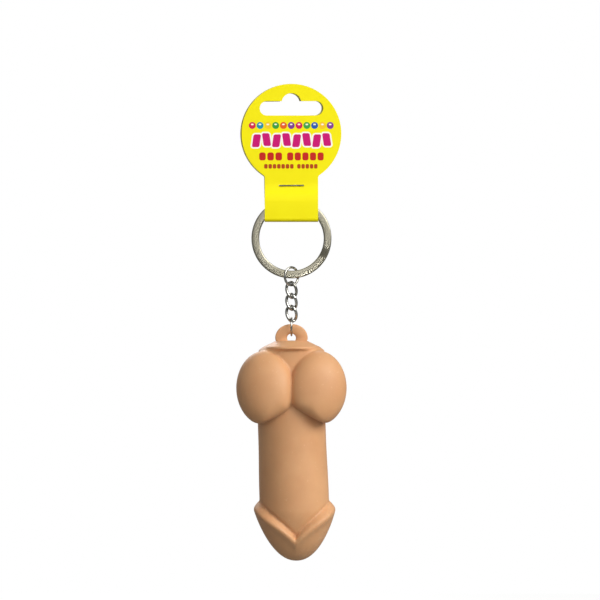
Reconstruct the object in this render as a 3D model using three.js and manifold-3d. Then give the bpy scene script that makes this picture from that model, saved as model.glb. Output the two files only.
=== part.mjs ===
// A novelty keychain on its retail header card: a folded card, closed by a staple, holds a split ring;
// a jump ring, three twisted curb links and a small end ring hang a soft foam charm from it by its lug.
//
// Millimetres, +Z up. X runs across the card, and the printed front faces -Y.
// The origin is the top of the card's hanging slot, where a display peg carries the whole piece.
import * as THREE from "three";
import { mergeVertices } from "three/addons/utils/BufferGeometryUtils.js";
import Module from "manifold-3d";

const wasm = await Module();
wasm.setup();

// ---------------------------------------------------------------- driving dimensions

const AIR = 0.1; // the clearance between two pieces that bear on each other

const BOARD = 0.4; // thickness of the card
const DISC_RADIUS = 19;
const DISC_CENTRE_Z = -15.2;
const TAB_WIDTH = 20;
const NECK_FILLET = 1.2; // between the disc and the tab
const FOLD_Z = -48.2; // lowest point of the fold
const BACK_SHIFT = 0.5; // the back panel is folded this far out of line at the disc

const SLOT_WIDTH = 23.8;
const SLOT_HEIGHT = 5.4;
const SLOT_CENTRE_Z = -5.65;
const HUMP_RADIUS = 3.7; // its crown is at the origin

const STAPLE_WIDTH = 9.4; // over the legs
const STAPLE_WIRE = 0.5;
const STAPLE_Z = -34.6;
const STAPLE_LEG_FOLDED = 3.2; // the length of leg turned in behind the card
const STAPLE_BEND = 0.35; // radius at the wire's centre
const STAPLE_HOLE_ROOM = 0.06;

const RING_OUTER = 15; // the split ring's outer radius
const RING_BAND = 2.9; // how wide its flat wire is
const COIL_THICKNESS = 1.07;
const COIL_EDGE = 0.4; // radius on the wire's edges
const RING_END_DEG = -34; // where the front coil starts
const CROSSING_DEG = 19; // the arc over which the wire steps from the front coil to the back one
const END_GAP_DEG = 1.5;

const JUMP_RADIUS = 3.35; // to the wire's centre
const JUMP_WIRE = 0.45; // this and the next two are the wires' radii
const LINK_WIRE = 0.56;
const END_WIRE = 0.4;
const END_RADIUS = 3.2; // to the wire's centre: it holds the lug's rim and the last link's wire
const JUMP_YAW_DEG = 42; // how far the jump ring is turned from the card's plane
const BAND_CROWN = 2.1; // the split ring's inner edge, above the jump ring's centre
const LINK_LENGTH = 5.72; // between the wire centres at a link's two ends
const LINK_HALF_WIDTH = 1.85; // to the wire's centre
const LINK_SQUARENESS = 2.3; // exponent of the link's oval: 2 is an ellipse
const LINK_TWIST_DEG = 48; // each end is turned this far from the card's plane
const LINK_LEAN = 0.3; // how far a link rises to the left, per millimetre across
const LINK_COUNT = 3;

const LUG_HALF_WIDTH = 6.1;
const LUG_HEIGHT = 5.25; // above the centre of its hole
const LUG_THICKNESS = 2.8;
const HOLE_RADIUS = 1.6;
const HOLE_CHAMFER = 0.45;
const CHARM_LENGTH = 83.6; // from the hole's centre down
const CHARM_FLATNESS = 0.93; // depth over width of the shaft
const CHARM_LEAN = 0.032; // sideways run of the shaft per millimetre down
const LEAN_START = 24; // below the hole's centre
const CHARM_SETBACK = 1.3; // the shaft is this far behind the lug, so that the charm hangs plumb
// The broad root behind the lobes, and the lobes themselves.
const ROOT = { x: 0, y: -1.2, down: 18.6, halfWidth: 20.5, halfDepth: 9.5, halfHeight: 16.3 };
const LOBE = { x: 9.8, y: -7, down: 18.3, halfWidth: 10.7, halfDepth: 9.5, halfHeight: 13.9 };

// ---------------------------------------------------------------- heights worked out from them

const radians = THREE.MathUtils.degToRad;
const COIL_GAP = AIR;
const RING_HALF_THICKNESS = COIL_THICKNESS + COIL_GAP / 2;
const RING_INNER = RING_OUTER - RING_BAND;
const LOOP_HALF_GAP = RING_HALF_THICKNESS + 0.8; // the room inside the card's loop, for the ring to tilt in
// The ring hangs by its inner edge, which meets the loop's floor at the two edges of the tab.
const RING_Z = FOLD_Z + BOARD + 2 * AIR - Math.sqrt(RING_INNER ** 2 - (TAB_WIDTH / 2) ** 2);
const JUMP_Z = RING_Z - RING_INNER - BAND_CROWN;
const JUMP_BOTTOM_Z = JUMP_Z - JUMP_RADIUS;
const LINK_TOP_Z = JUMP_BOTTOM_Z + JUMP_WIRE + LINK_WIRE + AIR;
const LINK_PITCH = LINK_LENGTH - (2 * LINK_WIRE + AIR) * Math.hypot(1, LINK_LEAN);
const LINKS_BOTTOM_Z = LINK_TOP_Z - LINK_PITCH * (LINK_COUNT - 1) - LINK_LENGTH;
const END_TOP_Z = LINKS_BOTTOM_Z + LINK_WIRE + END_WIRE + 2.4 * AIR;
const END_Z = END_TOP_Z - END_RADIUS;
const HOLE_Z = END_Z - END_RADIUS + END_WIRE + AIR - HOLE_RADIUS;

// ---------------------------------------------------------------- solids

/** A closed geometry as a solid for cutting and joining. */
function solid(geometry) {
  const bare = geometry.index ? geometry.toNonIndexed() : geometry.clone();
  bare.deleteAttribute("normal");
  bare.deleteAttribute("uv");
  const merged = mergeVertices(bare, 1e-4);
  return new wasm.Manifold(
    new wasm.Mesh({
      numProp: 3,
      vertProperties: merged.attributes.position.array,
      triVerts: new Uint32Array(merged.index.array),
    }),
  );
}

/** A solid's surface as a geometry. */
function geometryOf(made) {
  const mesh = made.getMesh();
  const geometry = new THREE.BufferGeometry();
  geometry.setAttribute("position", new THREE.BufferAttribute(mesh.vertProperties, 3));
  geometry.setIndex(new THREE.BufferAttribute(mesh.triVerts, 1));
  geometry.computeVertexNormals();
  return geometry;
}

/** Moves every vertex of a geometry to where place(vertex) puts it. */
function reshape(geometry, place) {
  const position = geometry.attributes.position;
  const vertex = new THREE.Vector3();
  for (let i = 0; i < position.count; i++) {
    place(vertex.fromBufferAttribute(position, i));
    position.setXYZ(i, vertex.x, vertex.y, vertex.z);
  }
  geometry.computeVertexNormals();
  return geometry;
}

/** A straight bar of the given section, cut into steps along Z from 0 to 1 and bent by place. */
function bentBar(section, steps, place) {
  const bar = new THREE.ExtrudeGeometry(section, { depth: 1, steps, bevelEnabled: false, curveSegments: 2 });
  return reshape(bar, place);
}

/** A round section, as a polygon. */
function roundSection(radius, sides = 10) {
  const corners = Array.from({ length: sides }, (_, i) => {
    const angle = (i / sides) * 2 * Math.PI;
    return new THREE.Vector2(radius * Math.cos(angle), radius * Math.sin(angle));
  });
  return new THREE.Shape(corners);
}

/** A flat section with rounded edges: width across X, thickness across Y. */
function flatSection(width, thickness, edge) {
  const [w, t] = [width / 2, thickness / 2];
  const section = new THREE.Shape();
  section.moveTo(-w + edge, -t);
  section.lineTo(w - edge, -t);
  section.quadraticCurveTo(w, -t, w, -t + edge);
  section.lineTo(w, t - edge);
  section.quadraticCurveTo(w, t, w - edge, t);
  section.lineTo(-w + edge, t);
  section.quadraticCurveTo(-w, t, -w, t - edge);
  section.lineTo(-w, -t + edge);
  section.quadraticCurveTo(-w, -t, -w + edge, -t);
  return section;
}

// ---------------------------------------------------------------- header card

/** The card's outline seen from the front: a disc with a tab below, and the hanging slot. */
function cardOutline() {
  const half = TAB_WIDTH / 2;
  // The fillet's centre is outside the tab's edge, and its arc touches the disc.
  const filletX = half + NECK_FILLET;
  const reach = Math.sqrt((DISC_RADIUS + NECK_FILLET) ** 2 - filletX ** 2);
  const filletZ = DISC_CENTRE_Z - reach;
  const touch = Math.atan2(-reach, filletX);
  const outline = new THREE.Shape();
  outline.moveTo(-half, FOLD_Z - 1);
  outline.lineTo(half, FOLD_Z - 1);
  outline.lineTo(half, filletZ);
  outline.absarc(filletX, filletZ, NECK_FILLET, Math.PI, touch + Math.PI, true);
  outline.absarc(0, DISC_CENTRE_Z, DISC_RADIUS, touch, Math.PI - touch, false);
  outline.absarc(-filletX, filletZ, NECK_FILLET, -touch, 0, true);
  outline.lineTo(-half, FOLD_Z - 1);

  const end = SLOT_HEIGHT / 2;
  const run = SLOT_WIDTH / 2 - end;
  const slotTop = SLOT_CENTRE_Z + end;
  const lift = Math.asin((slotTop + HUMP_RADIUS) / HUMP_RADIUS);
  const slot = new THREE.Path();
  slot.moveTo(-run, SLOT_CENTRE_Z - end);
  slot.absarc(run, SLOT_CENTRE_Z, end, -Math.PI / 2, Math.PI / 2, false);
  slot.absarc(0, -HUMP_RADIUS, HUMP_RADIUS, lift, Math.PI - lift, false);
  slot.absarc(-run, SLOT_CENTRE_Z, end, Math.PI / 2, (3 * Math.PI) / 2, false);
  outline.holes.push(slot);
  return outline;
}

/** Where the panels start to part above the staple, and to open below it around the ring. */
const CARD_BENDS = { partZ: STAPLE_Z + 1.2, shutZ: STAPLE_Z - 0.7, openZ: RING_Z + RING_OUTER + 0.3 };

/** The inside half gap of the folded card at a height: shut at the staple, open around the ring. */
function halfGap(z) {
  const shut = 0.06;
  const parted = 0.3; // at the top of the disc
  const { partZ, shutZ, openZ } = CARD_BENDS;
  if (z > partZ) return shut + ((parted - shut) * (z - partZ)) / -partZ;
  const share = THREE.MathUtils.clamp((shutZ - z) / (shutZ - openZ), 0, 1);
  return shut + (LOOP_HALF_GAP - shut) * share;
}

/** The folded card's section in YZ: one thin sheet that runs down the front, round the fold and up the back. */
function cardSection() {
  const corner = 0.9; // inner radius of the fold's two corners
  const floor = FOLD_Z + BOARD;
  const top = DISC_CENTRE_Z + DISC_RADIUS + 1;
  const { partZ, shutZ, openZ } = CARD_BENDS;
  const heights = [top, partZ, shutZ, openZ, floor + corner];
  const inner = heights.map((z) => new THREE.Vector2(halfGap(z), z));
  const bend = Array.from({ length: 5 }, (_, i) => -((i + 1) / 5) * (Math.PI / 2));
  const along = (radius) =>
    bend.map(
      (a) =>
        new THREE.Vector2(
          LOOP_HALF_GAP - corner + radius * Math.cos(a),
          floor + corner + radius * Math.sin(a),
        ),
    );
  const outer = inner.map((p) => new THREE.Vector2(p.x + BOARD, p.y));
  const right = [...inner, ...along(corner)];
  const rightOut = [...outer, ...along(corner + BOARD)];
  const mirrored = (points) => points.map((p) => new THREE.Vector2(-p.x, p.y)).reverse();
  return new THREE.Shape([...rightOut, ...mirrored(rightOut), ...mirrored(right).reverse(), ...right.reverse()]);
}

/** Extrudes a shape drawn in XZ along Y, from one y to another. */
function alongY(shape, from, to) {
  const geometry = new THREE.ExtrudeGeometry(shape, {
    depth: to - from,
    bevelEnabled: false,
    curveSegments: 20,
  });
  geometry.rotateX(Math.PI / 2); // the shape's y becomes z, and the depth runs to -y
  geometry.translate(0, to, 0);
  return geometry;
}

/** The path of the staple's wire, seen from above: crown in front, legs through, ends turned in behind. */
function staplePath() {
  const half = STAPLE_WIDTH / 2 - STAPLE_WIRE / 2;
  const face = halfGap(STAPLE_Z) + BOARD + STAPLE_WIRE / 2 + AIR;
  const tip = half - STAPLE_LEG_FOLDED;
  const bow = 0.25; // the clinched legs arch away from the card
  const r = STAPLE_BEND;
  const path = new THREE.CurvePath();
  const point = (x, y) => new THREE.Vector3(x, y, STAPLE_Z);
  const line = (a, b) => path.add(new THREE.LineCurve3(a, b));
  const turn = (a, b, c) => path.add(new THREE.QuadraticBezierCurve3(a, b, c));
  turn(point(-tip, face + bow), point(-half + 1, face + bow), point(-half + r, face + 0.02));
  turn(point(-half + r, face + 0.02), point(-half, face), point(-half, face - r));
  line(point(-half, face - r), point(-half, -face + r));
  turn(point(-half, -face + r), point(-half, -face), point(-half + r, -face));
  line(point(-half + r, -face), point(half - r, -face));
  turn(point(half - r, -face), point(half, -face), point(half, -face + r));
  line(point(half, -face + r), point(half, face - r));
  turn(point(half, face - r), point(half, face), point(half - r, face + 0.02));
  turn(point(half - r, face + 0.02), point(half - 1, face + bow), point(tip, face + bow));
  return path;
}

function headerCard() {
  const wide = 2 * DISC_RADIUS + 4;
  const sheetGeometry = new THREE.ExtrudeGeometry(cardSection(), { depth: wide, bevelEnabled: false });
  // The section's x becomes Y, its y becomes Z and the depth runs along X.
  sheetGeometry.applyMatrix4(new THREE.Matrix4().set(0, 0, 1, -wide / 2, 1, 0, 0, 0, 0, 1, 0, 0, 0, 0, 0, 1));
  const sheet = solid(sheetGeometry);
  const reach = LOOP_HALF_GAP + BOARD + 1;
  const skew = -BACK_SHIFT / (DISC_CENTRE_Z - FOLD_Z);
  const seam = 0.02; // the halves overlap this far at the fold
  const front = solid(alongY(cardOutline(), -reach, seam));
  const back = solid(
    reshape(alongY(cardOutline(), -seam, reach), (v) => {
      v.x += skew * Math.max(0, v.z - FOLD_Z);
    }),
  );
  const legX = STAPLE_WIDTH / 2 - STAPLE_WIRE / 2;
  const hole = STAPLE_WIRE + 2 * STAPLE_HOLE_ROOM;
  let card = sheet.intersect(front).add(sheet.intersect(back));
  for (const side of [-1, 1]) {
    const punch = new THREE.BoxGeometry(hole, 2 * reach, hole);
    card = card.subtract(solid(punch.translate(side * legX, 0, STAPLE_Z)));
  }
  return geometryOf(card);
}

function cardStaple() {
  return new THREE.ExtrudeGeometry(roundSection(STAPLE_WIRE / 2, 8), {
    extrudePath: staplePath(),
    steps: 72,
    bevelEnabled: false,
  });
}

// ---------------------------------------------------------------- rings and links

/** Two turns of flat wire, side by side, with one step across between them. */
function splitRing() {
  const turnDeg = 720 - CROSSING_DEG - END_GAP_DEG;
  const stepStart = 360 - END_GAP_DEG - CROSSING_DEG;
  const middle = RING_OUTER - RING_BAND / 2;
  const axial = (COIL_THICKNESS + COIL_GAP) / 2;
  return bentBar(flatSection(RING_BAND, COIL_THICKNESS, COIL_EDGE), 104, (v) => {
    const run = v.z * turnDeg;
    const across = THREE.MathUtils.smoothstep(run, stepStart, stepStart + CROSSING_DEG);
    const angle = radians(RING_END_DEG - run);
    const radius = middle - v.x;
    v.set(radius * Math.cos(angle), v.y + axial * (2 * across - 1), RING_Z + radius * Math.sin(angle));
  });
}

/** A ring of round wire with its cut ends almost meeting, standing in the XZ plane. */
function wireRing(radius, wire, cutDeg) {
  const gapDeg = 5;
  return bentBar(roundSection(wire), 40, (v) => {
    const angle = radians(cutDeg - gapDeg / 2 - v.z * (360 - gapDeg));
    const r = radius - v.x;
    v.set(r * Math.cos(angle), v.y, r * Math.sin(angle));
  });
}

/** The centre line of a curb link: an oval twisted about its long axis, leaning in the card's plane. */
class TwistedOval extends THREE.Curve {
  getPoint(t, target = new THREE.Vector3()) {
    const angle = t * 2 * Math.PI;
    const squared = (value) => Math.sign(value) * Math.abs(value) ** (2 / LINK_SQUARENESS);
    const x = LINK_HALF_WIDTH * squared(Math.cos(angle));
    const z = (LINK_LENGTH / 2) * squared(Math.sin(angle));
    const twist = (-radians(LINK_TWIST_DEG) * z) / (LINK_LENGTH / 2);
    const across = x * Math.cos(twist);
    return target.set(across, x * Math.sin(twist), z - LINK_LEAN * across);
  }
}

function curbLink() {
  return new THREE.TubeGeometry(new TwistedOval(), 48, LINK_WIRE, 10, true);
}

// ---------------------------------------------------------------- foam charm

/** The shaft and its flared tip, turned about Z; heights are below the hole's centre. */
function charmCore() {
  const profile = [
    [0, 0.7],
    [5.5, 1],
    [9, 2.2],
    [11, 4.6],
    [11.6, 8],
    [12.2, 20],
    [12.8, 30],
    [12.9, 61.5],
    [15.1, 64.2],
    [15, 66],
    [13.4, 70],
    [11.2, 74.5],
    [8.2, 79],
    [4.6, 82.3],
    [0, CHARM_LENGTH],
  ];
  const points = profile.map(([r, down]) => new THREE.Vector2(r, -down)).reverse();
  const core = new THREE.LatheGeometry(points, 28);
  core.rotateX(Math.PI / 2);
  return core.scale(1, CHARM_FLATNESS, 1);
}

/** An ellipsoid bulge of the charm, on one side of its middle or on it. */
function bulge(form, side) {
  const ellipsoid = new THREE.SphereGeometry(1, 24, 14);
  ellipsoid.scale(form.halfWidth, form.halfDepth, form.halfHeight);
  return ellipsoid.translate(side * form.x, form.y, -form.down);
}

/** The flat lug on top of the charm. */
function charmLug() {
  const exponent = 2.2;
  const steps = 16;
  const rim = Array.from({ length: steps + 1 }, (_, i) => {
    const angle = (i / steps) * Math.PI;
    const squared = (value) => Math.sign(value) * Math.abs(value) ** (2 / exponent);
    return new THREE.Vector2(LUG_HALF_WIDTH * squared(Math.cos(angle)), LUG_HEIGHT * squared(Math.sin(angle)));
  });
  const root = 3;
  const outline = new THREE.Shape([
    ...rim,
    new THREE.Vector2(-LUG_HALF_WIDTH, -root),
    new THREE.Vector2(LUG_HALF_WIDTH, -root),
  ]);
  return alongY(outline, -LUG_THICKNESS / 2, LUG_THICKNESS / 2);
}

/** The lug's hole, chamfered at both mouths. */
function lugHole() {
  const face = LUG_THICKNESS / 2;
  const over = 0.5; // the tool runs past each face
  const mouth = HOLE_RADIUS + HOLE_CHAMFER + over;
  const profile = [
    [0, -face - over],
    [mouth, -face - over],
    [HOLE_RADIUS, -face + HOLE_CHAMFER],
    [HOLE_RADIUS, face - HOLE_CHAMFER],
    [mouth, face + over],
    [0, face + over],
  ];
  return new THREE.LatheGeometry(
    profile.map(([r, y]) => new THREE.Vector2(r, y)),
    20,
  );
}

function foamCharm() {
  let charm = solid(charmCore()).add(solid(bulge(ROOT, 1)));
  for (const side of [-1, 1]) {
    charm = charm.add(solid(bulge(LOBE, side)));
  }
  charm = charm.translate([0, CHARM_SETBACK, 0]);
  charm = charm.add(solid(charmLug())).subtract(solid(lugHole()));
  return reshape(geometryOf(charm), (v) => {
    v.x += CHARM_LEAN * Math.max(0, -v.z - LEAN_START);
  });
}

// ---------------------------------------------------------------- materials and assembly

const printedCard = new THREE.MeshStandardMaterial({ color: "#f8ec21", roughness: 0.45, metalness: 0 });
const nickel = new THREE.MeshStandardMaterial({ color: "#b9b6ab", roughness: 0.25, metalness: 1 });
const foam = new THREE.MeshStandardMaterial({ color: "#dca97a", roughness: 0.55, metalness: 0 });

const keychain = new THREE.Group();

function place(name, geometry, material, z = 0, yawDeg = 0) {
  const mesh = new THREE.Mesh(geometry, material);
  mesh.name = name;
  mesh.position.z = z;
  mesh.rotation.z = radians(yawDeg);
  keychain.add(mesh);
}

place("header_card", headerCard(), printedCard);
place("card_staple", cardStaple(), nickel);
place("split_ring", splitRing(), nickel);
place("jump_ring", wireRing(JUMP_RADIUS, JUMP_WIRE, -48), nickel, JUMP_Z, JUMP_YAW_DEG);
for (let i = 0; i < LINK_COUNT; i++) {
  const centre = LINK_TOP_Z - LINK_PITCH * i - LINK_LENGTH / 2;
  place(`curb_link_${i + 1}`, curbLink(), nickel, centre);
}
place("end_ring", wireRing(END_RADIUS, END_WIRE, 25), nickel, END_Z, 90);
place("foam_charm", foamCharm(), foam, HOLE_Z);

export default keychain;
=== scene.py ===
"""A novelty keychain on its header card: the card, its staple, the rings and links, and the foam charm."""

import math

import bmesh
import bpy
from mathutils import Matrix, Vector


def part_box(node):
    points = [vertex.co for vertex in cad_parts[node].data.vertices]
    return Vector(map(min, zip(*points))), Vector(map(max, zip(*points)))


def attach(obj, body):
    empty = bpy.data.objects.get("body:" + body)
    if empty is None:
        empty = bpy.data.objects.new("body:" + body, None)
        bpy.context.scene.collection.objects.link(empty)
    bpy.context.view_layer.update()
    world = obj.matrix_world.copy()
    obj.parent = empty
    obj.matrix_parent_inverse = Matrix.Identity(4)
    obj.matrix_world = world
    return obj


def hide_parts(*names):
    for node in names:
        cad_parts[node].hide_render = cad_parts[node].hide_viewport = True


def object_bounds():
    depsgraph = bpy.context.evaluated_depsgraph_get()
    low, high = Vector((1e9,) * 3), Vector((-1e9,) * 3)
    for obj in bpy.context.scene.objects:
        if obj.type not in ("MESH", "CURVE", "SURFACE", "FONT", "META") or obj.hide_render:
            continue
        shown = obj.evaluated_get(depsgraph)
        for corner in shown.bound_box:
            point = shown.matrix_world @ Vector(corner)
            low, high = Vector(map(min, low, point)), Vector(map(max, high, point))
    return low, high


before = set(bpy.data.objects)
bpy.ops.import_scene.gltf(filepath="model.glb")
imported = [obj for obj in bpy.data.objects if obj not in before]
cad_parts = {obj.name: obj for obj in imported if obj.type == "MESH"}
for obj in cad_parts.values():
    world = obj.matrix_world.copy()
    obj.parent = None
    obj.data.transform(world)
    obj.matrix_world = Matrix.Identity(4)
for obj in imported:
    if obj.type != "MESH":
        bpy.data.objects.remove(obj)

cad_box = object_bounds()
MM = 0.001


# ---------------------------------------------------------------- working helpers


def deselect_all():
    if bpy.context.mode != "OBJECT":
        bpy.ops.object.mode_set(mode="OBJECT")
    bpy.ops.object.select_all(action="DESELECT")


def work_on(piece):
    """Makes one piece the only selected and active object."""
    deselect_all()
    piece.select_set(True)
    bpy.context.view_layer.objects.active = piece


def primitive(add, name, scale=(1, 1, 1), **settings):
    """Adds a primitive by itself, with its place and size already in its mesh."""
    deselect_all()
    add(**settings)
    piece = bpy.context.active_object
    piece.name = piece.data.name = name
    piece.scale = scale
    bpy.ops.object.transform_apply(location=True, rotation=True, scale=True)
    return piece


def pick(piece, kind, test):
    """Goes into edit mode and selects the vertices, edges or faces that pass the test."""
    work_on(piece)
    bpy.ops.object.mode_set(mode="EDIT")
    bpy.ops.mesh.select_mode(type=kind)
    bpy.ops.mesh.select_all(action="DESELECT")
    mesh = bmesh.from_edit_mesh(piece.data)
    for element in {"VERT": mesh.verts, "EDGE": mesh.edges, "FACE": mesh.faces}[kind]:
        element.select_set(bool(test(element)))
    mesh.select_flush_mode()
    bmesh.update_edit_mesh(piece.data)


def finish_edit():
    bpy.ops.object.mode_set(mode="OBJECT")


def modify(piece, kind, **settings):
    """Adds a modifier and applies it."""
    work_on(piece)
    modifier = piece.modifiers.new(kind.lower(), kind)
    for name, value in settings.items():
        setattr(modifier, name, value)
    bpy.ops.object.modifier_apply(modifier=modifier.name)


def combine(piece, tool, operation):
    """Joins, cuts or keeps what a second solid covers, and drops that solid."""
    modify(piece, "BOOLEAN", operation=operation, object=tool, solver="EXACT")
    bpy.data.objects.remove(tool)


def tidy_normals(piece):
    """Merges doubled vertices and turns every face outwards."""
    pick(piece, "FACE", lambda face: True)
    bpy.ops.mesh.remove_doubles(threshold=0.001 * MM)
    bpy.ops.mesh.normals_make_consistent(inside=False)
    finish_edit()


def smooth(piece, degrees):
    work_on(piece)
    bpy.ops.object.shade_smooth_by_angle(angle=math.radians(degrees))


def dress(piece, *materials):
    piece.data.materials.clear()
    for material in materials:
        piece.data.materials.append(material)


def stand_in(piece, node, body):
    """A finished piece that takes a CAD node's place."""
    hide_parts(node)
    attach(piece, body)


def middle(node):
    low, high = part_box(node)
    return (Vector(low) + Vector(high)) / 2


# ---------------------------------------------------------------- shader helpers


def srgb(red, green, blue):
    """A colour given from 0 to 255, as linear values."""
    values = []
    for channel in (red, green, blue):
        share = channel / 255
        values.append(share / 12.92 if share <= 0.04045 else ((share + 0.055) / 1.055) ** 2.4)
    return (*values, 1.0)


def link(tree, value, socket):
    """Feeds a socket from another socket, or sets it to a plain value."""
    if isinstance(value, bpy.types.NodeSocket):
        tree.links.new(value, socket)
    else:
        socket.default_value = value


def maths(tree, operation, *values):
    node = tree.nodes.new("ShaderNodeMath")
    node.operation = operation
    for socket, value in zip(node.inputs, values):
        link(tree, value, socket)
    return node.outputs[0]


def ramp(tree, factor, stops, interpolation="LINEAR"):
    node = tree.nodes.new("ShaderNodeValToRGB")
    node.color_ramp.interpolation = interpolation
    elements = node.color_ramp.elements
    while len(elements) < len(stops):
        elements.new(0.5)
    for element, (position, colour) in zip(elements, stops):
        element.position = position
        element.color = colour
    link(tree, factor, node.inputs["Fac"])
    return node.outputs["Color"]


def mix(tree, factor, first, second, blend="MIX"):
    node = tree.nodes.new("ShaderNodeMix")
    node.data_type = "RGBA"
    node.blend_type = blend
    link(tree, factor, node.inputs[0])
    link(tree, first, node.inputs[6])
    link(tree, second, node.inputs[7])
    return node.outputs[2]


def noise(tree, vector, scale, detail=2.0, roughness=0.5):
    node = tree.nodes.new("ShaderNodeTexNoise")
    node.inputs["Scale"].default_value = scale
    node.inputs["Detail"].default_value = detail
    node.inputs["Roughness"].default_value = roughness
    link(tree, vector, node.inputs["Vector"])
    return node.outputs["Fac"]


def spread(tree, value, low, high, to_low=0.0, to_high=1.0):
    """Maps a value's range onto another, held at both ends."""
    node = tree.nodes.new("ShaderNodeMapRange")
    for name, number in (("From Min", low), ("From Max", high), ("To Min", to_low), ("To Max", to_high)):
        node.inputs[name].default_value = number
    link(tree, value, node.inputs["Value"])
    return node.outputs["Result"]


def group(name, inputs, outputs):
    """A new shader node group with its named sockets; gives the tree and its two end nodes."""
    tree = bpy.data.node_groups.new(name, "ShaderNodeTree")
    for label, kind, default in inputs:
        socket = tree.interface.new_socket(name=label, in_out="INPUT", socket_type=kind)
        if default is not None:
            socket.default_value = default
    for label, kind in outputs:
        tree.interface.new_socket(name=label, in_out="OUTPUT", socket_type=kind)
    return tree, tree.nodes.new("NodeGroupInput"), tree.nodes.new("NodeGroupOutput")


def use(tree, shared, **values):
    """Places a shared group in a material with its own values."""
    node = tree.nodes.new("ShaderNodeGroup")
    node.node_tree = shared
    for name, value in values.items():
        link(tree, value, node.inputs[name.replace("_", " ")])
    return node


def new_material(name, **constants):
    """A material with a Principled shader whose plain values are set straight on its sockets."""
    material = bpy.data.materials.new(name)
    material.use_nodes = True
    shader = material.node_tree.nodes["Principled BSDF"]
    for label, value in constants.items():
        shader.inputs[label.replace("_", " ")].default_value = value
    return material, material.node_tree, shader


def object_position(tree):
    return tree.nodes.new("ShaderNodeTexCoord").outputs["Object"]


def bump(tree, height, strength, distance):
    node = tree.nodes.new("ShaderNodeBump")
    node.inputs["Strength"].default_value = strength
    node.inputs["Distance"].default_value = distance
    link(tree, height, node.inputs["Height"])
    return node.outputs["Normal"]


# ---------------------------------------------------------------- shared shader groups

FLOAT, VECTOR, COLOUR = "NodeSocketFloat", "NodeSocketVector", "NodeSocketColor"


def grain_group():
    """Fine surface grain: a height for bump, and a slow mottle for colour and gloss."""
    tree, start, end = group(
        "surface grain",
        [("Position", VECTOR, None), ("Fine Scale", FLOAT, 3000.0), ("Slow Scale", FLOAT, 60.0)],
        [("Height", FLOAT), ("Mottle", FLOAT)],
    )
    fine = tree.nodes.new("ShaderNodeTexNoise")
    fine.inputs["Detail"].default_value = 3.0
    slow = tree.nodes.new("ShaderNodeTexNoise")
    slow.inputs["Detail"].default_value = 4.0
    for node, scale in ((fine, "Fine Scale"), (slow, "Slow Scale")):
        tree.links.new(start.outputs["Position"], node.inputs["Vector"])
        tree.links.new(start.outputs[scale], node.inputs["Scale"])
    tree.links.new(fine.outputs["Fac"], end.inputs["Height"])
    tree.links.new(slow.outputs["Fac"], end.inputs["Mottle"])
    return tree


def row_group():
    """A row of rounded tiles, evenly spaced: how far a point is outside its tile, and which tile it is in."""
    tree, start, end = group(
        "printed row",
        [
            ("X", FLOAT, 0.0),
            ("Z", FLOAT, 0.0),
            ("First Edge X", FLOAT, 0.0),
            ("Pitch", FLOAT, 1.0),
            ("Count", FLOAT, 1.0),
            ("Centre Z", FLOAT, 0.0),
            ("Bounce", FLOAT, 0.0),
            ("Lean", FLOAT, 0.0),
            ("Half Width", FLOAT, 1.0),
            ("Half Height", FLOAT, 1.0),
            ("Corner", FLOAT, 1.0),
        ],
        [("Outside", FLOAT), ("Place", FLOAT)],
    )
    value = start.outputs
    along = maths(tree, "DIVIDE", maths(tree, "SUBTRACT", value["X"], value["First Edge X"]), value["Pitch"])
    last = maths(tree, "SUBTRACT", value["Count"], 1.0)
    index = maths(tree, "MINIMUM", maths(tree, "MAXIMUM", maths(tree, "FLOOR", along), 0.0), last)
    within = maths(tree, "SUBTRACT", maths(tree, "SUBTRACT", along, index), 0.5)
    local = maths(tree, "MULTIPLY", within, value["Pitch"])
    odd = maths(tree, "SUBTRACT", maths(tree, "MULTIPLY", maths(tree, "MODULO", index, 2.0), 2.0), 1.0)
    lift = maths(tree, "ADD", value["Centre Z"], maths(tree, "MULTIPLY", odd, value["Bounce"]))
    up = maths(tree, "SUBTRACT", value["Z"], lift)
    slant = maths(tree, "MULTIPLY", maths(tree, "MULTIPLY", odd, value["Lean"]), up)
    local = maths(tree, "ADD", local, slant)

    def past(distance, half):
        inner = maths(tree, "SUBTRACT", value[half], value["Corner"])
        return maths(tree, "MAXIMUM", maths(tree, "SUBTRACT", maths(tree, "ABSOLUTE", distance), inner), 0.0)

    wide, high = past(local, "Half Width"), past(up, "Half Height")
    squared = maths(tree, "ADD", maths(tree, "MULTIPLY", wide, wide), maths(tree, "MULTIPLY", high, high))
    outside = maths(tree, "SUBTRACT", maths(tree, "SQRT", squared), value["Corner"])
    tree.links.new(outside, end.inputs["Outside"])
    place = maths(tree, "DIVIDE", maths(tree, "ADD", index, 0.5), value["Count"])
    tree.links.new(place, end.inputs["Place"])
    return tree


GRAIN = grain_group()
ROW = row_group()


# ---------------------------------------------------------------- materials

DOT_COLOURS = (
    (214, 36, 78),
    (24, 146, 178),
    (250, 206, 40),
    (58, 160, 62),
    (232, 96, 32),
    (126, 58, 150),
    (214, 30, 92),
    (62, 164, 70),
    (38, 92, 178),
    (250, 200, 40),
    (132, 60, 152),
)

# Rows of small tiles: the first one's edge, their pitch and count, their centre's height, their half height
# and their colour.
SMALL_TILES = (
    (-12.4, 3.05, 3.0, -23.7, 1.5, (198, 38, 30)),
    (-1.9, 2.85, 5.0, -23.7, 1.5, (198, 38, 30)),
    (-10.4, 1.62, 7.0, -27.4, 0.85, (182, 68, 24)),
    (2.0, 1.58, 5.0, -27.4, 0.85, (182, 68, 24)),
)


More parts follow.
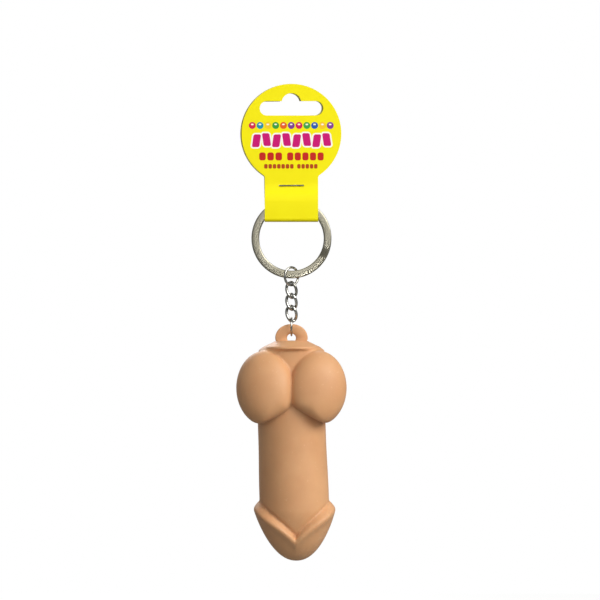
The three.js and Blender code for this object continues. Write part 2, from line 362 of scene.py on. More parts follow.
def printed_card():
    """Coated card printed yellow, with rows of coloured dots that each carry a painted highlight, bouncing
    magenta tiles and small red ones.
    """
    material, tree, shader = new_material("printed_card", Specular_IOR_Level=0.14)
    position = object_position(tree)
    split = tree.nodes.new("ShaderNodeSeparateXYZ")
    tree.links.new(position, split.inputs[0])
    x = maths(tree, "MULTIPLY", split.outputs["X"], 1 / MM)
    z = maths(tree, "MULTIPLY", split.outputs["Z"], 1 / MM)
    front = maths(tree, "LESS_THAN", split.outputs["Y"], 0.0)
    grain = use(tree, GRAIN, Position=position, Fine_Scale=2600.0, Slow_Scale=90.0)
    colour = mix(
        tree,
        spread(tree, grain.outputs["Mottle"], 0.35, 0.65),
        srgb(250, 236, 6),
        srgb(252, 239, 12),
    )

    dot_row = {"X": x, "Z": z, "First_Edge_X": -16.15, "Pitch": 2.92, "Count": 11.0}
    dot_row.update(Bounce=0.0, Lean=0.0)
    dots = use(tree, ROW, Centre_Z=-12.1, Half_Width=1.3, Half_Height=1.3, Corner=1.3, **dot_row)
    stops = [(i / len(DOT_COLOURS), srgb(*tint)) for i, tint in enumerate(DOT_COLOURS)]
    dot_colour = ramp(tree, dots.outputs["Place"], stops, "CONSTANT")
    # painted highlight: a small pale spot high on each dot, standing in for a glint on a glossy button
    painted_dot_highlight = use(tree, ROW, Centre_Z=-11.7, Half_Width=0.5, Half_Height=0.28, Corner=0.28, **dot_row)
    tiles = use(
        tree, ROW, X=x, Z=z, First_Edge_X=-15.0, Pitch=3.76, Count=8.0, Centre_Z=-17.6,
        Bounce=0.22, Lean=0.14, Half_Width=1.4, Half_Height=2.4, Corner=0.7,
    )

    def lay(under, distance, edge, over):
        """Prints a colour wherever a shape's distance is under the edge, on the front only."""
        mask = spread(tree, distance, edge - 0.03, edge + 0.03, 1.0, 0.0)
        return mix(tree, maths(tree, "MULTIPLY", mask, front), under, over)

    colour = lay(colour, tiles.outputs["Outside"], 0.55, srgb(255, 252, 244))
    colour = lay(colour, tiles.outputs["Outside"], 0.0, srgb(206, 18, 116))
    colour = lay(colour, dots.outputs["Outside"], 0.0, dot_colour)
    # lays the pale painted highlight spot over each dot
    colour = lay(colour, painted_dot_highlight.outputs["Outside"], 0.0, srgb(255, 250, 235))
    for first_x, pitch, count, centre_z, half_height, tint in SMALL_TILES:
        row = use(
            tree, ROW, X=x, Z=z, First_Edge_X=first_x, Pitch=pitch, Count=count, Centre_Z=centre_z,
            Bounce=0.0, Lean=0.0, Half_Width=0.4 * pitch, Half_Height=half_height, Corner=0.28 * pitch,
        )
        colour = lay(colour, row.outputs["Outside"], 0.0, srgb(*tint))

    tree.links.new(colour, shader.inputs["Base Color"])
    gloss = spread(tree, grain.outputs["Mottle"], 0.3, 0.7, 0.34, 0.46)
    tree.links.new(gloss, shader.inputs["Roughness"])
    tree.links.new(bump(tree, grain.outputs["Height"], 0.12, 0.02 * MM), shader.inputs["Normal"])
    return material


def raw_board(name, tint, deep):
    """Unprinted board: the card's inner faces and its cut edges."""
    material, tree, shader = new_material(name)
    grain = use(tree, GRAIN, Position=object_position(tree), Fine_Scale=4200.0, Slow_Scale=700.0)
    colour = mix(tree, spread(tree, grain.outputs["Mottle"], 0.3, 0.7), srgb(*tint), srgb(*deep))
    tree.links.new(colour, shader.inputs["Base Color"])
    tree.links.new(spread(tree, grain.outputs["Height"], 0.3, 0.7, 0.7, 0.85), shader.inputs["Roughness"])
    tree.links.new(bump(tree, grain.outputs["Height"], 0.3, 0.03 * MM), shader.inputs["Normal"])
    return material


def plated_steel(name, bright, dull, roughness, scale):
    """Nickel-plated steel wire: slightly dulled in patches, with fine drawn scratches."""
    material, tree, shader = new_material(name, Metallic=1.0, Specular_Tint=(0.3, 0.3, 0.28, 1.0))
    position = object_position(tree)
    grain = use(tree, GRAIN, Position=position, Fine_Scale=scale * 9, Slow_Scale=scale)
    colour = mix(tree, spread(tree, grain.outputs["Mottle"], 0.38, 0.66), srgb(*bright), srgb(*dull))
    tree.links.new(colour, shader.inputs["Base Color"])
    gloss = spread(tree, grain.outputs["Mottle"], 0.3, 0.7, roughness, roughness + 0.05)
    tree.links.new(gloss, shader.inputs["Roughness"])
    tree.links.new(bump(tree, grain.outputs["Height"], 0.05, 0.02 * MM), shader.inputs["Normal"])
    return material


def moulded_foam():
    """The charm's skin: satin moulded foam with a fine pore, with painted shade darkening its creases."""
    material, tree, shader = new_material(
        "moulded_foam",
        Subsurface_Weight=0.10,
        Subsurface_Scale=1.5 * MM,
        Sheen_Weight=0.04,
        Sheen_Roughness=0.6,
        Specular_IOR_Level=0.4,
    )
    shader.inputs["Subsurface Radius"].default_value = (1.0, 0.45, 0.25)
    position = object_position(tree)
    grain = use(tree, GRAIN, Position=position, Fine_Scale=2300.0, Slow_Scale=55.0)
    colour = mix(
        tree,
        spread(tree, grain.outputs["Mottle"], 0.34, 0.68),
        srgb(219, 166, 118),
        srgb(208, 153, 106),
    )
    # painted shade: the colour darkens to a warm brown in the hollows, by the stored hollowness
    painted_crease_shade = tree.nodes.new("ShaderNodeAttribute")
    painted_crease_shade.attribute_name = "painted_crease_shade"
    colour = mix(tree, maths(tree, "MULTIPLY", painted_crease_shade.outputs["Fac"], 0.4), colour, srgb(176, 112, 76))
    fleck = noise(tree, position, 900.0, 1.0)
    colour = mix(tree, spread(tree, fleck, 0.70, 0.78, 0.0, 0.25), colour, srgb(236, 196, 158))
    tree.links.new(colour, shader.inputs["Base Color"])
    gloss = spread(tree, grain.outputs["Mottle"], 0.3, 0.7, 0.46, 0.56)
    tree.links.new(gloss, shader.inputs["Roughness"])
    tree.links.new(bump(tree, grain.outputs["Height"], 0.22, 0.05 * MM), shader.inputs["Normal"])
    return material


def studio_white(name, tint, glow):
    """Matt paper that glows for the eye only: pale from every side, without lighting the keychain."""
    material, tree, shader = new_material(name, Roughness=0.9, Emission_Color=(1.0, 1.0, 1.0, 1.0))
    seen = tree.nodes.new("ShaderNodeLightPath").outputs["Is Camera Ray"]
    tree.links.new(maths(tree, "MULTIPLY", seen, glow), shader.inputs["Emission Strength"])
    soft = noise(tree, object_position(tree), 6.0, 2.0)
    colour = mix(tree, spread(tree, soft, 0.3, 0.7), srgb(*tint), srgb(*(min(255, c + 4) for c in tint)))
    tree.links.new(colour, shader.inputs["Base Color"])
    return material


CARD_PRINT = printed_card()
# the inner board's darker olive tone is partly bare board colour and partly painted shade, for the back
# panel's sliver lying in the front panel's shadow
CARD_INSIDE_WITH_SHADE = raw_board("card_inside_painted_shade", (206, 198, 132), (190, 182, 112))
CARD_EDGE = raw_board("card_cut_edge", (204, 188, 62), (180, 164, 48))
RING_STEEL = plated_steel("split_ring_plating", (172, 167, 149), (157, 152, 133), 0.26, 60.0)
CHAIN_STEEL = plated_steel("chain_plating", (204, 202, 194), (160, 158, 150), 0.14, 300.0)
STAPLE_STEEL = plated_steel("staple_wire", (150, 150, 148), (110, 108, 102), 0.24, 500.0)
FOAM = moulded_foam()


# ---------------------------------------------------------------- camera, stage and light

VIEW_WIDTH = 225 * MM
VIEW_CENTRE = Vector((3.2, 0.0, -77.5)) * MM
VIEW_DISTANCE = 900 * MM
FLOOR_BELOW = 200 * MM  # the charm's lowest point hangs this far above the floor
FLOOR_GLOW = 0.80
ROOM_LIGHT = 0.27


def camera():
    data = bpy.data.cameras.new("camera")
    data.sensor_width = 36.0
    data.lens = 36.0 * VIEW_DISTANCE / VIEW_WIDTH
    data.clip_start = 0.01
    made = bpy.data.objects.new("camera", data)
    made.location = VIEW_CENTRE - Vector((0, VIEW_DISTANCE, 0))
    made.rotation_euler = (math.radians(90), 0, 0)
    bpy.context.scene.collection.objects.link(made)
    bpy.context.scene.camera = made


def area_light(name, place, size, power, tint=(1.0, 1.0, 1.0)):
    """A rectangular light, turned towards the middle of the keychain."""
    data = bpy.data.lights.new(name, "AREA")
    data.shape = "RECTANGLE"
    data.size, data.size_y = size
    data.energy = power
    data.color = tint
    made = bpy.data.objects.new(name, data)
    made.location = place
    made.rotation_euler = (VIEW_CENTRE - Vector(place)).to_track_quat("-Z", "Y").to_euler()
    bpy.context.scene.collection.objects.link(made)


def stage():
    """A pale floor that turns up a little at its back, well below the hanging keychain."""
    floor_z = cad_box[0][2] - FLOOR_BELOW
    sweep = primitive(bpy.ops.mesh.primitive_plane_add, "studio_floor", size=3.4, location=(0, -0.5, floor_z))
    pick(sweep, "EDGE", lambda edge: all(v.co.y > 0.8 for v in edge.verts))
    bpy.ops.mesh.spin(steps=6, angle=math.radians(-20), center=(0, 1.2, floor_z + 0.4), axis=(1, 0, 0))
    finish_edit()
    tidy_normals(sweep)
    smooth(sweep, 40)
    dress(sweep, studio_white("studio_paper", (128, 128, 126), FLOOR_GLOW))


def lights():
    """A key light, a pale tent in front, a small catchlight and a fill behind, in a dim room.

    The room is white for the eye only.
    """
    world = bpy.data.worlds.new("studio")
    world.use_nodes = True
    tree = world.node_tree
    room = tree.nodes["Background"]
    room.inputs["Color"].default_value = (0.92, 0.95, 1.0, 1.0)
    room.inputs["Strength"].default_value = ROOM_LIGHT
    backdrop = tree.nodes.new("ShaderNodeBackground")
    backdrop.inputs["Color"].default_value = (1.0, 1.0, 1.0, 1.0)
    seen = tree.nodes.new("ShaderNodeMixShader")
    tree.links.new(tree.nodes.new("ShaderNodeLightPath").outputs["Is Camera Ray"], seen.inputs[0])
    tree.links.new(room.outputs[0], seen.inputs[1])
    tree.links.new(backdrop.outputs[0], seen.inputs[2])
    tree.links.new(seen.outputs[0], tree.nodes["World Output"].inputs["Surface"])
    bpy.context.scene.world = world
    area_light("key", (0.78, -0.60, 0.50), (0.70, 0.70), 11.5, (1.0, 0.985, 0.96))
    area_light("front_tent", (0.35, -1.25, 0.60), (1.5, 1.3), 7.6, (1.0, 0.995, 0.985))
    area_light("catchlight", (0.05, -1.0, -0.20), (0.05, 0.05), 0.4)
    area_light("back_fill", (-0.45, 1.30, 0.75), (0.9, 0.7), 12.0)
    bpy.context.scene.view_settings.view_transform = "Standard"


camera()
stage()
lights()


# ---------------------------------------------------------------- header card

BOARD = 0.4
DISC_RADIUS = 18.7
DISC_CENTRE_Z = -15.2
TAB_HALF = 10.0
NECK_FILLET = 1.2
FOLD_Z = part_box("header_card")[0][2] / MM
STAPLE_Z = middle("card_staple").z / MM
LOOP_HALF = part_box("header_card")[1][1] / MM - BOARD / 2  # the sheet's middle, around the ring
SHUT_HALF = 0.06 + BOARD / 2
PARTED_HALF = 0.3 + BOARD / 2
LOOP_TOP_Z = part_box("split_ring")[1][2] / MM + 0.3
MISFOLD = math.atan(0.5 / (DISC_CENTRE_Z - FOLD_Z))


def cylinder_y(name, radius, centre_x, centre_z, low_y, high_y, vertices=96):
    """A cylinder that lies along Y, in millimetres."""
    return primitive(
        bpy.ops.mesh.primitive_cylinder_add,
        name,
        vertices=vertices,
        radius=radius * MM,
        depth=(high_y - low_y) * MM,
        location=(centre_x * MM, (low_y + high_y) / 2 * MM, centre_z * MM),
        rotation=(math.radians(90), 0, 0),
    )


def block(name, low, high):
    """A rectangular block between two corners, in millimetres."""
    low, high = Vector(low), Vector(high)
    return primitive(
        bpy.ops.mesh.primitive_cube_add,
        name,
        size=1,
        location=(low + high) / 2 * MM,
        scale=(high - low) * MM,
    )


def card_die(low_y, high_y):
    """The die that stamps one panel: a disc and a tab, with the hanging slot left open."""
    die = cylinder_y("card_die", DISC_RADIUS, 0, DISC_CENTRE_Z, low_y, high_y, vertices=240)
    fillet_x = TAB_HALF + NECK_FILLET
    drop = math.sqrt((DISC_RADIUS + NECK_FILLET) ** 2 - fillet_x**2)
    fillet_z = DISC_CENTRE_Z - drop
    touch = DISC_RADIUS / (DISC_RADIUS + NECK_FILLET)
    neck_x, neck_z = fillet_x * touch, DISC_CENTRE_Z - drop * touch
    tab = block("tab", (-TAB_HALF, low_y, FOLD_Z - 2), (TAB_HALF, high_y, DISC_CENTRE_Z))
    neck = block("neck", (-neck_x, low_y, fillet_z), (neck_x, high_y, neck_z + 0.1))
    for side in (-1, 1):
        round_off = cylinder_y("fillet", NECK_FILLET, side * fillet_x, fillet_z, low_y - 1, high_y + 1, 64)
        combine(neck, round_off, "DIFFERENCE")
    combine(die, tab, "UNION")
    combine(die, neck, "UNION")
    slot = block("slot", (-9.2, low_y - 1, -8.35), (9.2, high_y + 1, -2.95))
    for side in (-1, 1):
        combine(slot, cylinder_y("slot_end", 2.7, side * 9.2, -5.65, low_y - 1, high_y + 1, 72), "UNION")
    combine(slot, cylinder_y("slot_notch", 3.7, 0, -3.7, low_y - 1, high_y + 1, 96), "UNION")
    combine(die, slot, "DIFFERENCE")
    dress(die, CARD_EDGE)
    return die


def header_card():
    """One sheet, folded round the ring and stamped to its outline through both panels."""
    top_z = 5.0
    kink_z = STAPLE_Z + 1.2
    sheet = primitive(
        bpy.ops.mesh.primitive_plane_add,
        "header_card_sheet",
        size=1,
        location=(0, -SHUT_HALF * MM, (top_z + kink_z) / 2 * MM),
        rotation=(math.radians(90), 0, 0),
        scale=(44 * MM, (top_z - kink_z) * MM, 1),
    )
    flare = (PARTED_HALF - SHUT_HALF) * (top_z - kink_z) / -kink_z
    pick(sheet, "VERT", lambda v: v.co.z > 0)
    bpy.ops.transform.translate(value=(0, -flare * MM, 0))
    pick(sheet, "EDGE", lambda edge: all(v.co.z < (kink_z + 0.1) * MM for v in edge.verts))
    corner = 1.1
    floor_z = FOLD_Z + BOARD / 2
    shut_z = STAPLE_Z - 0.7

    def pull(y, z):
        bpy.ops.mesh.extrude_region_move(TRANSFORM_OT_translate={"value": (0, y * MM, z * MM)})

    def fold(y):
        centre = (0, y * MM, (floor_z + corner) * MM)
        bpy.ops.mesh.spin(steps=8, angle=math.radians(-90), center=centre, axis=(1, 0, 0))

    swell = LOOP_HALF - SHUT_HALF
    pull(0, shut_z - kink_z)
    pull(-swell, LOOP_TOP_Z - shut_z)
    pull(0, floor_z + corner - LOOP_TOP_Z)
    fold(-LOOP_HALF + corner)
    pull(2 * (LOOP_HALF - corner), 0)
    fold(LOOP_HALF - corner)
    pull(0, LOOP_TOP_Z - floor_z - corner)
    pull(-swell, shut_z - LOOP_TOP_Z)
    pull(0, kink_z - shut_z)
    pull(flare, top_z - kink_z)
    finish_edit()
    tidy_normals(sheet)

    bends = (shut_z, LOOP_TOP_Z)
    pick(
        sheet,
        "EDGE",
        lambda edge: any(all(abs(v.co.z - z * MM) < 0.05 * MM for v in edge.verts) for z in bends),
    )
    bpy.ops.mesh.bevel(offset=1.8 * MM, segments=10, affect="EDGES")
    finish_edit()
    dress(sheet, CARD_PRINT, CARD_INSIDE_WITH_SHADE)
    modify(
        sheet,
        "SOLIDIFY",
        thickness=BOARD * MM,
        offset=0.0,
        use_even_offset=True,
        material_offset=1,
        material_offset_rim=1,
    )

    reach = LOOP_HALF + 2
    seam = 0.01
    die = card_die(-reach, seam)
    back_die = card_die(-seam, reach)
    pick(back_die, "VERT", lambda v: True)
    bpy.ops.transform.rotate(value=MISFOLD, orient_axis="Y", center_override=(0, 0, FOLD_Z * MM))
    finish_edit()
    combine(die, back_die, "UNION")
    legs = STAPLE_HALF_WIDTH
    for side in (-1, 1):
        leg_hole = cylinder_y("leg_hole", 0.31, side * legs, STAPLE_Z, -reach - 1, reach + 1, 16)
        combine(die, leg_hole, "DIFFERENCE")
    combine(sheet, die, "INTERSECT")
    tidy_normals(sheet)
    smooth(sheet, 30)
    stand_in(sheet, "header_card", "card")
    return sheet


# ---------------------------------------------------------------- wire pieces

STAPLE_WIRE = 0.25
JUMP_WIRE = 0.45
LINK_WIRE = 0.54
END_WIRE = 0.36
STAPLE_HALF_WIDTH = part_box("card_staple")[1][0] / MM - STAPLE_WIRE


def wire(name, points, radius, closed=False, sides=8):
    """Round wire along a smooth line through the points, made a mesh with flat cut ends."""
    deselect_all()
    bpy.ops.curve.primitive_nurbs_path_add(radius=1)
    path = bpy.context.active_object
    path.name = path.data.name = name
    curve = path.data
    curve.splines.clear()
    spline = curve.splines.new("POLY")
    spline.points.add(len(points) - 1)
    for point, place in zip(spline.points, points):
        point.co = (*(Vector(place) * MM), 1)
    spline.use_cyclic_u = closed
    spline.use_smooth = True
    curve.dimensions = "3D"
    curve.bevel_depth = radius * MM
    curve.bevel_resolution = sides // 2
    curve.use_fill_caps = not closed
    bpy.ops.object.convert(target="MESH")
    bpy.ops.object.transform_apply(location=True, rotation=True, scale=True)
    piece = bpy.context.active_object
    piece.name = piece.data.name = name
    tidy_normals(piece)
    return piece


def arc(centre_x, centre_y, radius, start, end, steps=6):
    """Points on an arc in a level plane, from one angle to another in degrees."""
    angles = [math.radians(start + (end - start) * i / steps) for i in range(steps + 1)]
    return [(centre_x + radius * math.cos(a), centre_y + radius * math.sin(a)) for a in angles]


def card_staple():
    """A wire staple: its crown is pressed flat on the front, and its legs are turned in behind."""
    half = STAPLE_HALF_WIDTH
    crown_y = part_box("card_staple")[0][1] / MM + STAPLE_WIRE
    curl = 0.25  # how far the turned-in tips stand out behind
    back_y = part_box("card_staple")[1][1] / MM - STAPLE_WIRE - curl
    bend = 0.35
    tip = half - 3.2
    level = [(-tip, back_y + curl), (-tip - 1.2, back_y + curl), (-half + 0.9, back_y + 0.1)]
    level += arc(-half + bend, back_y - bend, bend, 90, 180)
    level += arc(-half + bend, crown_y + bend, bend, 180, 270)
    level += [(-half / 2, crown_y), (0, crown_y - 0.02), (half / 2, crown_y)]
    mirrored = [(-x, y) for x, y in reversed(level)]
    points = [(x, y, STAPLE_Z) for x, y in level[:-2] + mirrored[1:]]
    staple = wire("card_staple_wire", points, STAPLE_WIRE)
    pick(staple, "VERT", lambda v: True)
    bpy.ops.transform.rotate(value=math.radians(0.7), orient_axis="Y", center_override=(0, 0, STAPLE_Z * MM))
    finish_edit()
    smooth(staple, 45)
    dress(staple, STAPLE_STEEL)
    stand_in(staple, "card_staple", "card")


def split_ring():
    """Flat wire wound two turns, with one short step across from the front turn to the back one."""
    low, high = (Vector(c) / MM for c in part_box("split_ring"))
    centre_z = (low.z + high.z) / 2
    outer = (high.z - low.z) / 2
    band, coil, gap, crown = 2.9, 1.07, 0.1, 0.035
    axial = (coil + gap) / 2
    middle_x = outer - band / 2
    start_deg, crossing_deg, end_gap_deg = -34.0, 19.0, 1.5
    ring = primitive(
        bpy.ops.mesh.primitive_plane_add,
        "split_ring_coils",
        size=1,
        location=(middle_x * MM, -axial * MM, centre_z * MM),
        scale=(band * MM, coil * MM, 1),
    )
    pick(ring, "VERT", lambda v: True)
    bpy.ops.mesh.bevel(offset=0.46 * MM, segments=5, affect="VERTICES")
    flat = (coil / 2 - 0.01) * MM
    pick(ring, "EDGE", lambda edge: all(abs(v.co.y + axial * MM) > flat for v in edge.verts))
    bpy.ops.mesh.subdivide(number_cuts=3)
    for side in (-1, 1):
        top = (side * coil / 2 - axial) * MM
        pick(ring, "VERT", lambda v: abs(v.co.y - top) < 0.01 * MM and abs(v.co.x - middle_x * MM) < 0.6 * MM)
        bpy.ops.transform.translate(value=(0, side * crown * MM, 0))
    pick(ring, "VERT", lambda v: True)
    centre = (0, 0, centre_z * MM)
    bpy.ops.transform.rotate(value=math.radians(start_deg), orient_axis="Y", center_override=centre)

    def wind(degrees, steps):
        bpy.ops.mesh.spin(steps=steps, angle=-math.radians(degrees), center=centre, axis=(0, 1, 0))

    wind(360 - end_gap_deg - crossing_deg, 150)
    crossing_steps = 16
    done = 0.0
    for i in range(crossing_steps):
        wind(crossing_deg / crossing_steps, 1)
        share = (i + 1) / crossing_steps
        eased = share * share * (3 - 2 * share)
        bpy.ops.transform.translate(value=(0, 2 * axial * (eased - done) * MM, 0))
        done = eased
    wind(360 - crossing_deg, 150)
    finish_edit()
    tidy_normals(ring)
    smooth(ring, 40)
    dress(ring, RING_STEEL)
    stand_in(ring, "split_ring", "split_ring")


def round_ring(name, node, wire_radius, yaw_deg, cut_deg, oversize=0.0):
    """A ring of round wire whose cut ends almost meet, larger all round than its node by the oversize."""
    low, high = (Vector(c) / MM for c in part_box(node))
    centre = (low + high) / 2
    radius = (high.z - low.z) / 2 - wire_radius + oversize
    yaw = math.radians(yaw_deg)
    gap_deg = 4.0
    points = []
    steps = 72
    for i in range(steps + 1):
        angle = math.radians(cut_deg - gap_deg / 2 - (360 - gap_deg) * i / steps)
        across = radius * math.cos(angle)
        points.append((across * math.cos(yaw), across * math.sin(yaw), centre.z + radius * math.sin(angle)))
    ring = wire(name, points, wire_radius)
    smooth(ring, 45)
    dress(ring, CHAIN_STEEL)
    return ring


def curb_link(number):
    """A link of round wire: a leaning oval, twisted about its long axis to lie flat with the next."""
    node = f"curb_link_{number}"
    centre = middle(node) / MM
    half_width, half_length, squareness = 1.85, 2.86, 2.3
    lean, twist_deg = 0.3, 48
    points = []
    steps = 60
    for i in range(steps):
        angle = 2 * math.pi * i / steps
        x = half_width * math.copysign(abs(math.cos(angle)) ** (2 / squareness), math.cos(angle))
        z = half_length * math.copysign(abs(math.sin(angle)) ** (2 / squareness), math.sin(angle))
        twist = -math.radians(twist_deg) * z / half_length
        across = x * math.cos(twist)
        points.append((across, x * math.sin(twist), centre.z + z - lean * across))
    link_piece = wire(f"{node}_wire", points, LINK_WIRE, closed=True, sides=12)
    smooth(link_piece, 60)
    dress(link_piece, CHAIN_STEEL)
    stand_in(link_piece, node, f"link_{number}")


# ---------------------------------------------------------------- foam charm

HOLE_UP = 5.25  # the lug's top, above the hole's centre
HOLE_RADIUS = 1.66
HOLE_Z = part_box("foam_charm")[1][2] / MM - HOLE_UP
SETBACK = 1.3  # the charm's middle is this far behind the hole
FLATNESS = 0.93  # its depth over its width
CHARM_TOP = 1.0  # the core's top, below the hole's centre
CHARM_LENGTH = 82.6
CAP_START = 64.2
CAP_LENGTH = 19.4
CAP_HALF_WIDTH = 15.4
LOBE_HALF_WIDTH = 10.8
LOBE_HALF_HEIGHT = 13.9
LOBE_HALF_DEPTH = 9.8
LOBE_SIDEWAYS = 9.8  # a lobe's middle, from the charm's middle
LOBE_FORWARD = 6.2
LOBE_DOWN = 18.5
LOBE_TWIN = (180, 11.4)  # the angle and distance at which a lobe is flattened against its twin
LOBE_SQUARENESS = 14  # how sharply the flattened sides turn into the oval


def ease(value, low, high):
    """Goes from 0 to 1 between two values, smoothly."""
    share = min(1.0, max(0.0, (value - low) / (high - low)))
    return share * share * (3 - 2 * share)


def shaft_radius(down):
    """The shaft's half width, at a height below the hole."""
    top = math.sqrt(min(1.0, max(0.0, (down - 1.0) / 2.2)))
    return 10.4 * top + 2.45 * ease(down, 8, 30) + 0.4 * ease(down, 38, 58)


def cap_radius(down):
    """The rounded end's half width, at a height below the hole."""
    share = min(1.0, max(0.0, (down - CAP_START) / CAP_LENGTH))
    return CAP_HALF_WIDTH * (1 - share**1.15) ** 0.47


def soft_min(first, second, blend=0.8):
    """The smaller of two values, rounded off where they are close."""
    least = min(first, second)
    return least - blend * math.log(math.exp((least - first) / blend) + math.exp((least - second) / blend))


def charm_radius(down, angle):
    """The charm's half width at a height and at an angle from the front, in degrees."""
    front = 1 - min(1.0, angle / 90)
    ridge = 61.2 + 12.6 * front**1.6 - 2.5 * max(0.0, (angle - 90) / 90)
    rise = 2.0 + 1.4 * (1 - front)
    step = 1.1 + 0.9 * ease(front, 0.05, 0.6)
    cap = cap_radius(down)
    inner = soft_min(shaft_radius(down), cap - step)
    groove = 0.45 * math.exp(-(((down - ridge + 0.3) / 0.7) ** 2)) * ease(front, 0.02, 0.4)
    roll = 0.8 * math.exp(-(((down - ridge - 3.0) / 2.2) ** 2)) * ease(front, 0.0, 0.5)
    share = min(1.0, max(0.0, (down - ridge) / rise))
    return inner - groove * (1 - share) + (cap + roll - inner) * math.sin(share * math.pi / 2)


def charm_core():
    """The shaft and its flared, rounded end, with the ridge that dips to a point in front."""
    core = primitive(
        bpy.ops.mesh.primitive_uv_sphere_add,
        "foam_charm_body",
        segments=176,
        ring_count=260,
        radius=1,
    )
    for vertex in core.data.vertices:
        place = vertex.co
        down = CHARM_TOP + CHARM_LENGTH * (1 - place.z) / 2
        lean = 0.034 * max(0.0, down - 30)
        level = math.hypot(place.x, place.y)
        across = back = 0.0
        if level > 1e-6:
            x, y = place.x / level, place.y / level
            shoulder = 1 + 0.2 * x * x * ease(down, 2.8, 5) * (1 - ease(down, 6, 11))
            radius = charm_radius(down, math.degrees(math.atan2(abs(x), -y)))
            across, back = radius * shoulder * x, FLATNESS * radius * shoulder * y
        vertex.co = Vector((across + lean, back + SETBACK, HOLE_Z - down)) * MM
    return core


def lobe_reach(angle, under):
    """How far a lobe's outline is from its middle: an oval, flattened against its twin and the shaft."""
    oval = math.hypot(math.cos(angle) / LOBE_HALF_WIDTH, math.sin(angle) / LOBE_HALF_HEIGHT)
    reach = oval**LOBE_SQUARENESS
    for facing, distance in (LOBE_TWIN, under):
        toward = math.cos(angle - math.radians(facing))
        if toward > 0.05:
            reach += (toward / distance) ** LOBE_SQUARENESS
    return reach ** (-1 / LOBE_SQUARENESS)


def charm_lobe(side):
    """One of the two lobes at the top, fullest low down and towards its twin."""
    under = (239.5, 9.9) if side > 0 else (242, 10.9)
    lobe = primitive(bpy.ops.mesh.primitive_uv_sphere_add, "lobe", segments=128, ring_count=80, radius=1)
    for vertex in lobe.data.vertices:
        place = vertex.co
        level = min(1.0, math.hypot(place.x, place.z))
        angle = math.atan2(place.z, place.x)
        reach = lobe_reach(angle, under) * level
        depth = (1 - level**2.3) ** (1 / 2.3) * (1 if place.y > 0 else -1)
        fullness = max(0.0, -depth) ** 1.5
        x = side * (LOBE_SIDEWAYS + reach * math.cos(angle) - 2.4 * fullness)
        z = HOLE_Z - LOBE_DOWN + reach * math.sin(angle) - 3.4 * fullness
        y = SETBACK - LOBE_FORWARD + LOBE_HALF_DEPTH * depth
        vertex.co = Vector((x, y, z)) * MM
    tidy_normals(lobe)
    return lobe


def charm_rim():
    """The low domed collar across the charm's top, under the lug."""
    rim = primitive(
        bpy.ops.mesh.primitive_cylinder_add,
        "rim",
        vertices=96,
        radius=10.8 * MM,
        depth=3.2 * MM,
        location=(0, SETBACK * MM, (HOLE_Z - 2.6) * MM),
        scale=(0.98, 1.03, 1),
    )
    top_z = (HOLE_Z - 1.1) * MM
    pick(rim, "FACE", lambda face: len(face.verts) > 4 and face.calc_center_median().z > top_z)
    bpy.ops.mesh.inset(thickness=4.8 * MM)
    finish_edit()
    pick(rim, "VERT", lambda v: v.co.z > top_z and math.hypot(v.co.x, v.co.y - SETBACK * MM) > 8 * MM)
    bpy.ops.transform.translate(value=(0, 0, -2.3 * MM))
    finish_edit()
    pick(rim, "EDGE", lambda edge: len(edge.link_faces) == 2 and edge.calc_face_angle(0) > 0.3)
    bpy.ops.mesh.bevel(offset=0.4 * MM, segments=4, affect="EDGES")
    finish_edit()
    return rim


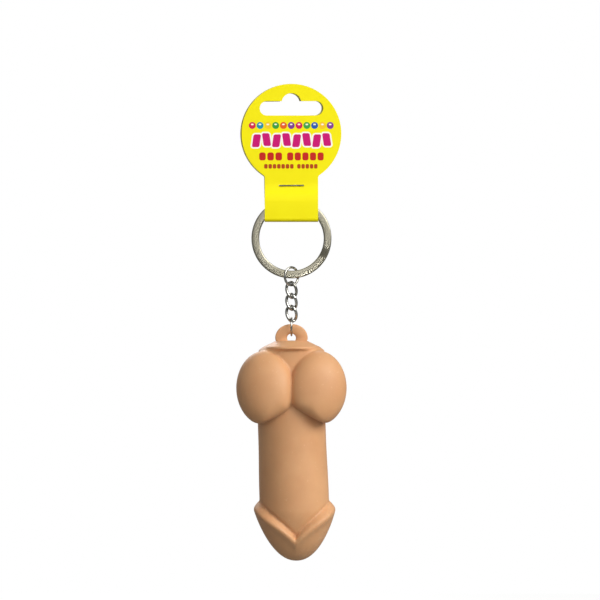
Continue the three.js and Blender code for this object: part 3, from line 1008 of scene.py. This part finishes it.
def charm_lug():
    """The lug and its countersunk hole."""
    face = 1.4
    lug = cylinder_y("lug", 1, 0, 0, -face, face, 96)
    for vertex in lug.data.vertices:
        place = vertex.co / MM
        width = 6.1 * abs(place.x) ** 0.94 * (1 if place.x > 0 else -1)
        height = HOLE_UP * place.z if place.z > 0 else 3.4 * place.z
        vertex.co = Vector((width, place.y, HOLE_Z + height)) * MM
    pick(lug, "EDGE", lambda edge: any(len(face.verts) > 4 for face in edge.link_faces))
    bpy.ops.mesh.bevel(offset=0.45 * MM, segments=4, affect="EDGES")
    finish_edit()
    hole = cylinder_y("hole", HOLE_RADIUS, 0, HOLE_Z, -face + 0.4, face - 0.4, 64)
    for side in (-1, 1):
        mouth = primitive(
            bpy.ops.mesh.primitive_cone_add,
            "mouth",
            vertices=64,
            radius1=(HOLE_RADIUS + 0.95) * MM,
            radius2=HOLE_RADIUS * MM,
            depth=0.95 * MM,
            location=(0, side * (face + 0.025) * MM, HOLE_Z * MM),
            rotation=(math.radians(90 * side), 0, 0),
        )
        combine(hole, mouth, "UNION")
    combine(lug, hole, "DIFFERENCE")
    return lug


def mark_painted_crease_shade(piece):
    """Stores how hollow the surface is at each vertex, so that painted shade can darken the colour in the
    creases.
    """
    mesh = bmesh.new()
    mesh.from_mesh(piece.data)
    mesh.normal_update()
    hollow = []
    for vertex in mesh.verts:
        around = [edge.other_vert(vertex).co for edge in vertex.link_edges]
        centre = sum(around, Vector()) / max(1, len(around))
        size = sum((p - vertex.co).length for p in around) / max(1, len(around))
        hollow.append((centre - vertex.co).dot(vertex.normal) / max(size, 1e-9))
    for _ in range(24):
        nearby = [
            sum(hollow[edge.other_vert(vertex).index] for edge in vertex.link_edges) / len(vertex.link_edges)
            for vertex in mesh.verts
        ]
        hollow = [0.5 * own + 0.5 * near for own, near in zip(hollow, nearby)]
    mesh.free()
    layer = piece.data.attributes.new("painted_crease_shade", "FLOAT", "POINT")
    layer.data.foreach_set("value", [ease(value, 0.012, 0.09) for value in hollow])


def foam_charm():
    """One moulded body: the core, lobes and rim run into each other, and the lug stands on top."""
    charm = charm_core()
    parts = [charm_lobe(-1), charm_lobe(1), charm_rim()]
    work_on(charm)
    for part in parts:
        part.select_set(True)
    bpy.ops.object.join()
    modify(charm, "REMESH", mode="VOXEL", voxel_size=0.38 * MM)
    modify(charm, "SMOOTH", factor=0.5, iterations=4)
    mark_painted_crease_shade(charm)
    combine(charm, charm_lug(), "UNION")
    tidy_normals(charm)
    smooth(charm, 50)
    dress(charm, FOAM)
    stand_in(charm, "foam_charm", "charm")


# ---------------------------------------------------------------- the keychain

header_card()
card_staple()
split_ring()
jump = round_ring("jump_ring_wire", "jump_ring", JUMP_WIRE, 42, -48)
stand_in(jump, "jump_ring", "jump_ring")
for link_number in (1, 2, 3):
    curb_link(link_number)
end = round_ring("end_ring_wire", "end_ring", END_WIRE, 90, 25, oversize=0.03)
stand_in(end, "end_ring", "end_ring")
foam_charm()

deselect_all()
